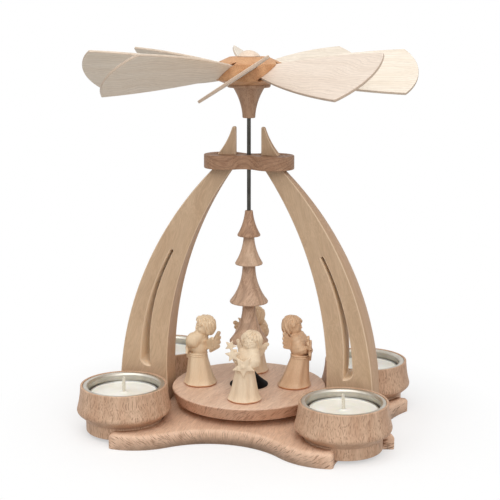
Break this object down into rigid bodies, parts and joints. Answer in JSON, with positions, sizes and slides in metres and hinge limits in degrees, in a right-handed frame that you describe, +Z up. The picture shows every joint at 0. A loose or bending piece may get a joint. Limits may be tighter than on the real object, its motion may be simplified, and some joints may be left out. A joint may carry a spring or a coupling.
{
  "type": "christmas pyramid",
  "caption": "Table candle pyramid: a rotor of slanted blades turns a spindle with a turned fir tree and a round platform of carved angels, between curved legs on a base with candle cups.",
  "frame": {"origin": "on the table plane under the spindle, at the middle of the base's underside", "axes": "+Z up along the spindle, +X from the spindle towards the right leg, -Y towards the front"},
  "size_m": [0.1824, 0.1824, 0.2101],
  "materials": {
    "beech": "bare sanded beech with short dark flecks",
    "leg_wood": "bare sanded pale wood, slightly grey",
    "bridge_wood": "bare sanded beech, edge grain",
    "pale_skirt": "bare turned wood",
    "hub_wood": "bare turned fruit wood",
    "cone_wood": "bare turned beech",
    "blade_wood": "bare planed pale wood",
    "carved_wood": "bare carved lime wood",
    "spindle_steel": "dark drawn steel",
    "bearing_brass": "turned",
    "insert_metal": "satin pressed sheet",
    "can_metal": "bright thin sheet",
    "wax": "white candle wax",
    "wick": "waxed cotton",
    "collar_black": "matte black"
  },
  "bodies": {
    "stand": {"base_plate": "beech", "leg_left": "leg_wood", "leg_right": "leg_wood", "leg_dowels": "beech", "bridge": "bridge_wood", "pivot_bearing": "bearing_brass", "candle_cup_1": "beech", "candle_cup_2": "beech", "candle_cup_3": "beech", "candle_cup_4": "beech", "cup_insert_1": "insert_metal", "cup_insert_2": "insert_metal", "cup_insert_3": "insert_metal", "cup_insert_4": "insert_metal"},
    "spindle": {"spindle_rod": "spindle_steel", "rotor_hub": "hub_wood", "hub_cone": "cone_wood", "hub_dome": "blade_wood", "platform": "beech", "platform_collar": "collar_black", "tree_trunk": "beech", "tree_skirt_1": "beech", "tree_skirt_2": "pale_skirt", "tree_skirt_3": "beech", "tree_skirt_4": "beech", "blade_1": "blade_wood", "blade_2": "blade_wood", "blade_3": "blade_wood", "blade_4": "blade_wood", "blade_5": "blade_wood", "blade_6": "blade_wood", "blade_7": "blade_wood", "blade_8": "blade_wood", "angel_front": "carved_wood", "angel_right": "carved_wood", "angel_back": "carved_wood", "angel_left": "carved_wood"},
    "tealight_1": {"tealight_can_1": "can_metal", "tealight_wax_1": "wax", "tealight_wick_1": "wick"},
    "tealight_2": {"tealight_can_2": "can_metal", "tealight_wax_2": "wax", "tealight_wick_2": "wick"},
    "tealight_3": {"tealight_can_3": "can_metal", "tealight_wax_3": "wax", "tealight_wick_3": "wick"},
    "tealight_4": {"tealight_can_4": "can_metal", "tealight_wax_4": "wax", "tealight_wick_4": "wick"}
  },
  "joints": [
    {"name": "spindle_spin", "type": "hinge", "parent": "stand", "child": "spindle", "pos_m": [0, 0, 0], "axis": [0, 0, 1], "continuous": true},
    {"name": "tealight_1_lift", "type": "slide", "parent": "stand", "child": "tealight_1", "axis": [0, 0, 1], "range_m": [0, 0.04]},
    {"name": "tealight_2_lift", "type": "slide", "parent": "stand", "child": "tealight_2", "axis": [0, 0, 1], "range_m": [0, 0.04]},
    {"name": "tealight_3_lift", "type": "slide", "parent": "stand", "child": "tealight_3", "axis": [0, 0, 1], "range_m": [0, 0.04]},
    {"name": "tealight_4_lift", "type": "slide", "parent": "stand", "child": "tealight_4", "axis": [0, 0, 1], "range_m": [0, 0.04]}
  ]
}
